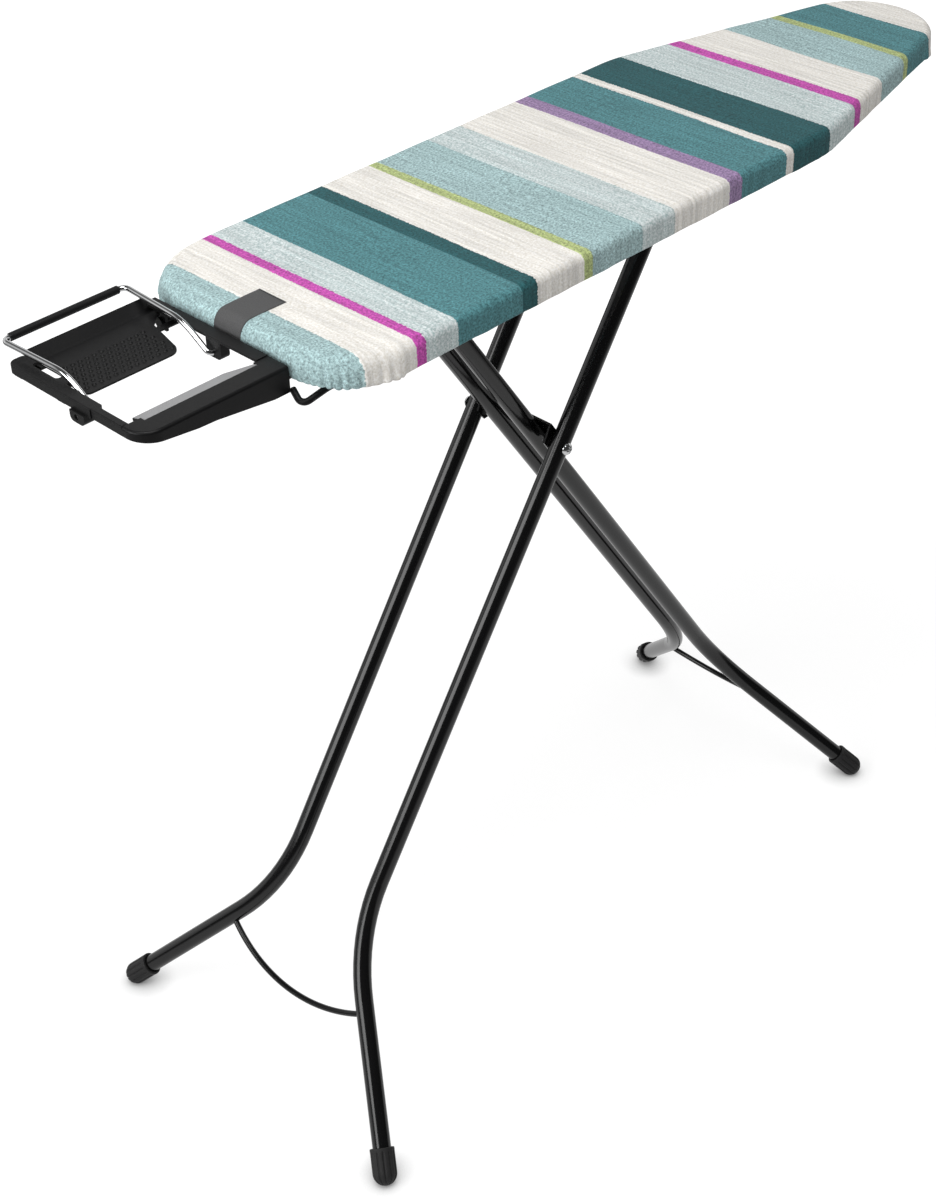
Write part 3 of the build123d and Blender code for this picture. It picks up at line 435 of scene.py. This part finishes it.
arc_turn = 2 * math.pi * (np.cumsum(step) - step) / loop_length


def puckers(waves, phase):
    """Gathers along the hem: sine waves of whole counts round the outline, so that they close."""
    return sum(np.sin(count * arc_turn + phase * count + shift) * weight for count, shift, weight in waves)


def shown_past(share, start, ease):
    """A straight step from 0 to 1 that begins at a start and takes an ease."""
    return np.clip((share - start) / ease, 0, 1)


# Shares of the way down the side, and of the way in under the hem, say where each kind of fold stands
fine = puckers([(151, 0.3, 0.5), (197, 1.9, 0.45), (241, 4.0, 0.3)], 0.7)
broad = puckers([(31, 0.5, 0.6), (47, 2.2, 0.5), (73, 1.1, 0.35)], 0.3)
crimp = np.abs(np.sin(145 * arc_turn + 0.8 * np.sin(23 * arc_turn)))
crimp = crimp * (0.65 + 0.35 * np.sin(37 * arc_turn + 1.0))
crimp_out, crimp_drop, edge_drop, wave_height = 0.0026, 0.0014, 0.0012, 0.0006
shoulder, shoulder_width = 0.06, 0.05
down = np.clip((top_z - cover_height) / (top_z - board_low.z), 0, 1)
tucked = np.clip(cover_inset / hem_width, 0, 1) * (down > 0.9)
past_top = (cover_pull == 0)[:, None]
bulge = np.clip(0.0012 * fine + 0.0015 * broad + 0.0012, -0.0001, None)
cover_grid[..., :2] += (past_top * (1 - tucked) * down ** 1.5 * gather ** 1.5 * bulge)[..., None] * outward
crimped = shown_past(down, 0.3, 0.5) * np.clip(1 - tucked, 0, 1) * past_top
cover_grid[..., :2] += (crimped * gather ** 3 * crimp_out * crimp)[..., None] * outward
cover_grid[..., 2] += tucked * gather * (0.0016 * fine + 0.0008 * broad)
hang = shown_past(down, 0.55, 0.45) * np.clip(1 - 1.4 * tucked, 0, 1) * gather ** 4
cover_grid[..., 2] += hang * (0.0009 * broad + 0.0007 * fine - crimp_drop * crimp - edge_drop)
cover_grid[..., 2] += shown_past(down, 0.6, 0.4) * np.clip(1 - 2 * tucked, 0, 1) * wave_height * broad
cover_grid[..., 2] += (1 - down) ** 4 * swell(cover_grid[..., 0], cover_grid[..., 1])
on_shoulder = np.exp(-((cover_pull - shoulder) / shoulder_width) ** 2)[:, None] * (down == 0)
cover_grid[..., 2] += on_shoulder * gather * wave_height * broad

# Weave group: plain weave as crossed sine waves, with slubs and specks in the yarn
weave, weave_in, weave_out = new_group("plain_weave", {"Threads": 1200.0, "Speck": 520.0},
                                        ["Height", "Speck", "Slub"])
slub_scale = (260, 9, 9)
place = add_node(weave, "ShaderNodeTexCoord").outputs["Object"]
axes = split(weave, place)
threads = [combine(weave, "SINE", combine(weave, "MULTIPLY", source, weave_in.outputs["Threads"]))
           for source in (axes["X"], combine(weave, "ADD", axes["Y"], axes["Z"]))]
weave.links.new(combine(weave, "MULTIPLY", *threads), weave_out.inputs["Height"])
specks = noise(weave, place, weave_in.outputs["Speck"], in_detail=4.0, in_roughness=0.65)
weave.links.new(specks, weave_out.inputs["Speck"])
drawn = add_node(weave, "ShaderNodeMapping", in_scale=slub_scale)
weave.links.new(place, drawn.inputs["Vector"])
weave.links.new(noise(weave, drawn.outputs[0], 1.0, in_detail=3.0), weave_out.inputs["Slub"])

# Plain bands across the board with thin lines between them: where each starts from the rear, in metres
cream, mist, aqua = (0.77, 0.745, 0.70), (0.53, 0.60, 0.60), (0.34, 0.475, 0.485)
teal, deep = (0.075, 0.215, 0.235), (0.018, 0.092, 0.102)
magenta, lime, mauve = (0.50, 0.075, 0.38), (0.40, 0.47, 0.20), (0.29, 0.20, 0.35)
bands = [(0.0, aqua), (0.038, cream), (0.092, magenta), (0.106, mist), (0.150, teal), (0.238, deep),
         (0.262, cream), (0.330, lime), (0.342, aqua), (0.420, mist), (0.470, cream), (0.560, mauve),
         (0.584, teal), (0.660, cream), (0.672, deep), (0.740, mist), (0.812, magenta), (0.826, cream),
         (0.890, aqua), (0.960, lime), (0.972, teal), (1.040, cream)]
print_waver, fleck_share, streak_share, thread_relief = 0.005, 0.6, 0.85, 0.35
yarn_range, yarn_tone = (0.3, 0.7), (0.74, 1.08)
cotton, tree, shader = new_finish("striped_cotton", cream, 0.9, specular=0.2)
shader.inputs["Sheen Weight"].default_value = 0.08
shader.inputs["Sheen Roughness"].default_value = 0.5
cloth = place_group(tree, weave, threads=5200.0, speck=420.0)
along = split(tree, add_node(tree, "ShaderNodeTexCoord").outputs["Object"])["X"]
way = ranged(tree, along, (board_low.x, board_high.x), (0, 1))
printed = combine(tree, "MULTIPLY_ADD", cloth["Speck"], print_waver, way)
ramp = add_node(tree, "ShaderNodeValToRGB")
ramp.color_ramp.interpolation = "CONSTANT"
ramp_stops = ramp.color_ramp.elements
ramp_stops.remove(ramp_stops[1])
ramp_stops[0].position, ramp_stops[0].color = 0.0, (*bands[0][1], 1)
for start, colour in bands[1:]:
    stop = ramp_stops.new(start / (board_high.x - board_low.x))
    stop.color = (*colour, 1)
tree.links.new(printed, ramp.inputs["Fac"])
fleck = ranged(tree, cloth["Speck"], yarn_range, (0, 1))
speckled = mixed(tree, fleck_share, ramp.outputs["Color"], fleck, "OVERLAY")
yarn = ranged(tree, cloth["Slub"], yarn_range, yarn_tone)
streaked = mixed(tree, streak_share, speckled, yarn, "MULTIPLY")
tree.links.new(streaked, shader.inputs["Base Color"])
height = combine(tree, "MULTIPLY_ADD", cloth["Height"], thread_relief, cloth["Speck"])
bump(tree, shader, height, 0.45, 0.0009)
cover = grid_piece("cover_cloth", cover_grid, cotton, "top")
wall = cover.modifiers.new("cloth", "SOLIDIFY")
wall.thickness, wall.offset = cloth_thickness, -1
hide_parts("cover")

# Label: a plain tab of woven tape folded over the rear edge and sewn to the cover.
# It lies on the cloth, dips with it over the edge, and has a row of stitches across its inner end.
label_low, label_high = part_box("cover_label")
tape_lift, tape_thickness, tape_columns = 0.0006, 0.0005, 19
tape_turn = rear_turn + tape_lift
flat_run = np.linspace(label_high.x, board_low.x + rear_turn, 14)
bend = np.linspace(0, math.pi / 2, 12)[1:]
drop = np.linspace(top_z - rear_turn, label_low.z, 5)[1:]
path_x = np.concatenate([flat_run, board_low.x + rear_turn - tape_turn * np.sin(bend),
                         np.full_like(drop, board_low.x - tape_lift)])
path_z = np.concatenate([np.full_like(flat_run, top_z + tape_lift),
                         top_z - rear_turn + tape_turn * np.cos(bend), drop])
tape_y = np.linspace(label_high.y, label_low.y, tape_columns)
tape_grid = np.dstack(np.broadcast_arrays(path_x[:, None], tape_y[None], path_z[:, None]))
on_top = (path_z > top_z)[:, None]
tape_grid[..., 2] += on_top * swell(tape_grid[..., 0], tape_grid[..., 1])
tape, tree, shader = new_finish("label_tape", (0.066, 0.066, 0.067), 0.75, specular=0.3)
tape_weave = place_group(tree, weave, threads=4200.0, speck=900.0)
bump(tree, shader, tape_weave["Height"], 0.5, 0.0004)
tape_grey = mixed(tree, tape_weave["Speck"], (0.04, 0.04, 0.041), (0.112, 0.112, 0.113))
tree.links.new(tape_grey, shader.inputs["Base Color"])
label = grid_piece("label_tape", tape_grid, tape, "top", closed=False)
wall = label.modifiers.new("tape", "SOLIDIFY")
wall.thickness, wall.offset = tape_thickness, 1
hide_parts("cover_label")

# Stitches: short lengths of dark thread that sew the label's inner end down.
# Each is a spindle, pointed where it dives into the tape.
stitch_count, stitch_half_length, stitch_half_width, stitch_half_height = 13, 0.0011, 0.00035, 0.00032
stitch_side, stitch_end, stitch_lift = 0.0025, 0.0024, 0.0006


def joined_grids(name, grids, material, body):
    """Many like closed-round grids in one mesh, each with its two ends drawn to a point."""
    count, rows_each, columns = grids.shape[:3]
    index = np.arange(count * rows_each * columns).reshape(count, rows_each, columns)
    across = np.roll(index, -1, axis=2)
    quads = np.stack([index[:, :-1], index[:, 1:], across[:, 1:], across[:, :-1]], -1).reshape(-1, 4)
    return mesh_piece(name, grids.reshape(-1, 3), quads, material, body)


lap = np.linspace(0, 2 * math.pi, 9)[:-1]
rise = np.linspace(0, math.pi, 7)
stitch = np.stack(np.broadcast_arrays(stitch_half_width * np.sin(rise)[:, None] * np.cos(lap)[None],
                                      -stitch_half_length * np.cos(rise)[:, None],
                                      stitch_half_height * np.sin(rise)[:, None] * np.sin(lap)[None]), -1)
stitch_y = np.linspace(label_low.y + stitch_side, label_high.y - stitch_side, stitch_count)
stitch_x = np.full(stitch_count, label_high.x - stitch_end)
stitch_z = top_z + tape_lift + stitch_lift + swell(stitch_x, stitch_y)
stitch_grid = stitch[None] + np.stack([stitch_x, stitch_y, stitch_z], -1)[:, None, None]
thread, tree, shader = new_finish("sewing_thread", (0.035, 0.035, 0.037), 0.6, specular=0.3)
twist = place_group(tree, surface, grain=5200.0, patch=900.0)
bump(tree, shader, twist["Grain"], 0.5, 0.0002)
thread_grey = mixed(tree, twist["Patch"], (0.02, 0.02, 0.021), (0.07, 0.07, 0.072))
tree.links.new(thread_grey, shader.inputs["Base Color"])
joined_grids("label_stitches", stitch_grid, thread, "top")

# Release spring: a leaf of zinc-plated spring steel between the pan and the lever's finger.
# Its foot is fixed under the pan and its tip curls up. It is shaped at rest; squeezing the lever would
# flatten it.
leaf_low, leaf_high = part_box("lever_spring")
leaf_sheet, leaf_foot, leaf_tip, leaf_curl, leaf_kept = 0.0008, 0.012, 0.006, 0.001, 0.6
leaf_x = np.linspace(leaf_low.x, leaf_high.x, 45)
leaf_fall = smooth((leaf_x - leaf_low.x - leaf_foot) / (leaf_high.x - leaf_low.x - leaf_foot - leaf_tip))
leaf_rise = np.clip((leaf_x - leaf_high.x + leaf_tip) / leaf_tip, 0, 1)
leaf_z = leaf_high.z - (leaf_high.z - leaf_low.z - leaf_sheet) * leaf_fall
leaf_z = leaf_z + leaf_curl * leaf_rise ** 2
leaf_y = np.linspace(leaf_high.y, leaf_low.y, 7)
leaf_grid = np.dstack(np.broadcast_arrays(leaf_x[:, None], leaf_y[None], leaf_z[:, None]))
leaf = grid_piece("release_leaf", leaf_grid, zinc_plate, "top", closed=False)
wall = leaf.modifiers.new("leaf", "SOLIDIFY")
wall.thickness, wall.offset = leaf_sheet, -1
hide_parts("lever_spring")
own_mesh(leaf)

# Iron rest: two rails and a moulded housing plug into the board; a pressed plate takes the hot sole.
# Steel, with the release lever beside it, is satin black lacquer, and the mouldings are fine-grained black.
rest_lacquer = coated("rest_lacquer", (0.005, 0.005, 0.0053), (0.02, 0.02, 0.02), (0.34, 0.48),
                      grain=500.0, depth=0.0002, dust_amount=0.25, specular=0.18)
dress(rest_lacquer, "rest_plate", "rest_board_rail", "release_lever", "rest_rod_left", "rest_rod_right")
dress(black_moulding, "rest_outer_rail", "bail_clip_outer", "bail_clip_board")

# Rest housing: the same moulding, with a painted highlight in pale grey on the sloped ledge along its
# opening, where light catches the slope.
# The painted highlight covers what lies near the housing's inner edge, leans towards the opening and still
# faces up.
housing_inner_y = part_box("rest_housing")[1].y
ledge_width, ledge_lean, ledge_up, ledge_highlight_grey = 0.0185, 0.16, 0.8, (0.26, 0.26, 0.265)
housing_finish = coated("housing_moulding", **moulding_look)
tree = housing_finish.node_tree
shader = tree.nodes["Principled BSDF"]
spot = split(tree, add_node(tree, "ShaderNodeTexCoord").outputs["Object"])
lean = split(tree, add_node(tree, "ShaderNodeNewGeometry").outputs["Normal"])
near_edge = combine(tree, "GREATER_THAN", spot["Y"], housing_inner_y - ledge_width)
leaning = combine(tree, "GREATER_THAN", lean["Y"], ledge_lean)
upward = combine(tree, "GREATER_THAN", lean["Z"], ledge_up)
# Painted highlight: this mask lifts the ledge's colour to pale grey where light falls on its slope
ledge_highlight = combine(tree, "MULTIPLY", near_edge, combine(tree, "MULTIPLY", leaning, upward))
moulded = shader.inputs["Base Color"].links[0].from_socket
tree.links.new(mixed(tree, ledge_highlight, moulded, ledge_highlight_grey), shader.inputs["Base Color"])
dress(housing_finish, "rest_housing")

# Bail: a chromed wire loop that turns in two clips under the rails and swings up over the rest.
# A soft black tube is pushed over its crossbar, where the iron's heel leans on it.
dress(bright_chrome, "bail_wire")
sleeve_tube = coated("sleeve_tube", (0.0065, 0.0065, 0.007), (0.03, 0.03, 0.03), (0.45, 0.58),
                     grain=1300.0, depth=0.0002, dust_amount=0.2, specular=0.2)
dress(sleeve_tube, "bail_sleeve")

# Studio floor: a wide white sheet that the board stands on, stage only.
# It lights the object as white paint does, glows white to the camera a little less near the object,
# and ends in reflections as a paper sweep does.
scene = bpy.context.scene
scene.view_settings.view_transform = "Standard"
floor_half, contact_reach = 14.0, 0.03
floor_white, floor_shade, white = (0.85, 0.85, 0.85, 1), (0.26, 0.26, 0.26, 1), (1, 1, 1, 1)


def seen_rays(tree):
    """Light Path's outputs, and a mask of the rays that show a thing: from the camera, or by reflection."""
    rays = add_node(tree, "ShaderNodeLightPath").outputs
    return rays, combine(tree, "MAXIMUM", rays["Is Camera Ray"], rays["Is Glossy Ray"])


def mixed_levels(tree, factor, first, second):
    """Two levels mixed by a mask; gives the mix."""
    node = add_node(tree, "ShaderNodeMix", data_type="FLOAT")
    for source, socket in ((factor, node.inputs[0]), (first, node.inputs[2]), (second, node.inputs[3])):
        tree.links.new(source, socket)
    return node.outputs[0]


def mixed_shaders(tree, factor, first, second):
    """Two shaders mixed by a mask; gives the mix."""
    node = add_node(tree, "ShaderNodeMixShader")
    for source, socket in zip((factor, first, second), node.inputs):
        tree.links.new(source, socket)
    return node.outputs[0]


floor_mesh = bpy.data.meshes.new("floor")
floor_mesh.from_pydata([(-floor_half, -floor_half, 0), (floor_half, -floor_half, 0),
                        (floor_half, floor_half, 0), (-floor_half, floor_half, 0)], [], [(0, 1, 2, 3)])
floor = bpy.data.objects.new("floor", floor_mesh)
scene.collection.objects.link(floor)
floor_paint = bpy.data.materials.new("floor_paint")
floor_paint.use_nodes = True
tree = floor_paint.node_tree
tree.nodes.clear()
rays, seen = seen_rays(tree)
distance = add_node(tree, "ShaderNodeVectorMath", operation="LENGTH")
tree.links.new(add_node(tree, "ShaderNodeTexCoord").outputs["Object"], distance.inputs[0])
camera_glow = ranged(tree, distance.outputs["Value"], (0.7, 2.0), (0.82, 1.0), "SMOOTHSTEP")
mirror_glow = ranged(tree, distance.outputs["Value"], (1.1, 2.6), (0.62, 0.0), "SMOOTHSTEP")

# Where a foot comes close the glow sinks, which leaves its contact shadow
nearness = add_node(tree, "ShaderNodeAmbientOcclusion", samples=8, in_distance=contact_reach)
contact = ranged(tree, nearness.outputs["AO"], (0.3, 0.95), (0.2, 1.0))
sunk_glow = combine(tree, "MULTIPLY", camera_glow, contact)
glow = add_node(tree, "ShaderNodeEmission", in_color=white)
tree.links.new(mixed_levels(tree, rays["Is Glossy Ray"], sunk_glow, mirror_glow), glow.inputs["Strength"])
shaded = add_node(tree, "ShaderNodeBsdfDiffuse", in_color=floor_shade)
lit = add_node(tree, "ShaderNodeAddShader")
tree.links.new(shaded.outputs[0], lit.inputs[0])
tree.links.new(glow.outputs[0], lit.inputs[1])
painted = add_node(tree, "ShaderNodeBsdfDiffuse", in_color=floor_white)
from_above = mixed_shaders(tree, seen, painted.outputs[0], lit.outputs[0])

# Seen from below the floor is clear, so that the underside of the board shows
clear = add_node(tree, "ShaderNodeBsdfTransparent").outputs[0]
under = add_node(tree, "ShaderNodeNewGeometry").outputs["Backfacing"]
surface_end = add_node(tree, "ShaderNodeOutputMaterial")
tree.links.new(mixed_shaders(tree, under, from_above, clear), surface_end.inputs[0])
floor_mesh.materials.append(floor_paint)

# Studio room: white air that fills in the shadows.
# In reflections it is white behind the object, and dim overhead and on the camera's side.
fill_level, dim_level, behind_way = 0.42, 0.06, (0.55, 0.83, 0.0)
world = bpy.data.worlds.new("white_room")
world.use_nodes = True
scene.world = world
tree = world.node_tree
tree.nodes.clear()
rays, seen = seen_rays(tree)
seen_through = combine(tree, "MAXIMUM", seen, rays["Is Transmission Ray"])
level = ranged(tree, seen_through, (0, 1), (fill_level, 1.0))
toward = add_node(tree, "ShaderNodeTexCoord").outputs["Generated"]
heading = add_node(tree, "ShaderNodeVectorMath", operation="DOT_PRODUCT")
heading.inputs[1].default_value = behind_way
tree.links.new(toward, heading.inputs[0])
behind = ranged(tree, heading.outputs["Value"], (-0.1, 0.4), (0, 1), "SMOOTHSTEP")
overhead = ranged(tree, split(tree, toward)["Z"], (0.32, 0.72), (1.0, 0.05), "SMOOTHSTEP")
room = ranged(tree, combine(tree, "MULTIPLY", behind, overhead), (0, 1), (dim_level, 1.0))
air = add_node(tree, "ShaderNodeBackground", in_color=white)
tree.links.new(mixed_levels(tree, rays["Is Glossy Ray"], level, room), air.inputs["Strength"])
world_end = add_node(tree, "ShaderNodeOutputWorld")
tree.links.new(air.outputs[0], world_end.inputs[0])


# Lamps: one big softbox over the board, and one at its rear end.
# The second draws the long soft streak down the leg tubes.
def softbox(name, place, aim, width, height, power):
    """An oblong lamp at a place, turned to its aim."""
    lamp = bpy.data.lights.new(name, "AREA")
    lamp.shape, lamp.size, lamp.size_y, lamp.energy = "RECTANGLE", width, height, power
    made = bpy.data.objects.new(name, lamp)
    made.location = place
    made.rotation_euler = (Vector(aim) - Vector(place)).to_track_quat("-Z", "Y").to_euler()
    scene.collection.objects.link(made)


board_middle = (0.0, 0.0, 0.8)
softbox("key_light", (-0.7, -0.3, 3.5), board_middle, 1.8, 1.8, 56)
softbox("side_light", (-3.2, 0.6, 1.95), board_middle, 2.2, 1.7, 66)

# Camera: stands off the rear right corner, above the board, and looks down along it.
# Its place and turns come from a pinhole camera fitted to the board's proportions.
camera_place = Vector((board_low.x - 1.10015, -1.44140, 1.99246))
camera_yaw, camera_pitch, camera_roll = 0.797031, 0.633358, -0.029753
focal_pixels, picture_height, sensor = 2107.06, 1200, 36.0
ahead = Vector((math.cos(camera_pitch) * math.cos(camera_yaw), math.cos(camera_pitch) * math.sin(camera_yaw),
                -math.sin(camera_pitch)))
level_right = Vector((math.sin(camera_yaw), -math.cos(camera_yaw), 0))
level_up = level_right.cross(ahead)
right = level_right * math.cos(camera_roll) + level_up * math.sin(camera_roll)
upright = level_up * math.cos(camera_roll) - level_right * math.sin(camera_roll)
lens = bpy.data.cameras.new("camera")
lens.sensor_width = sensor
lens.lens = focal_pixels / picture_height * sensor
lens.clip_start, lens.clip_end = 0.05, 60
camera = bpy.data.objects.new("camera", lens)
turned = Matrix((right, upright, -ahead)).transposed().to_4x4()
camera.matrix_world = Matrix.Translation(camera_place) @ turned
scene.collection.objects.link(camera)
scene.camera = camera
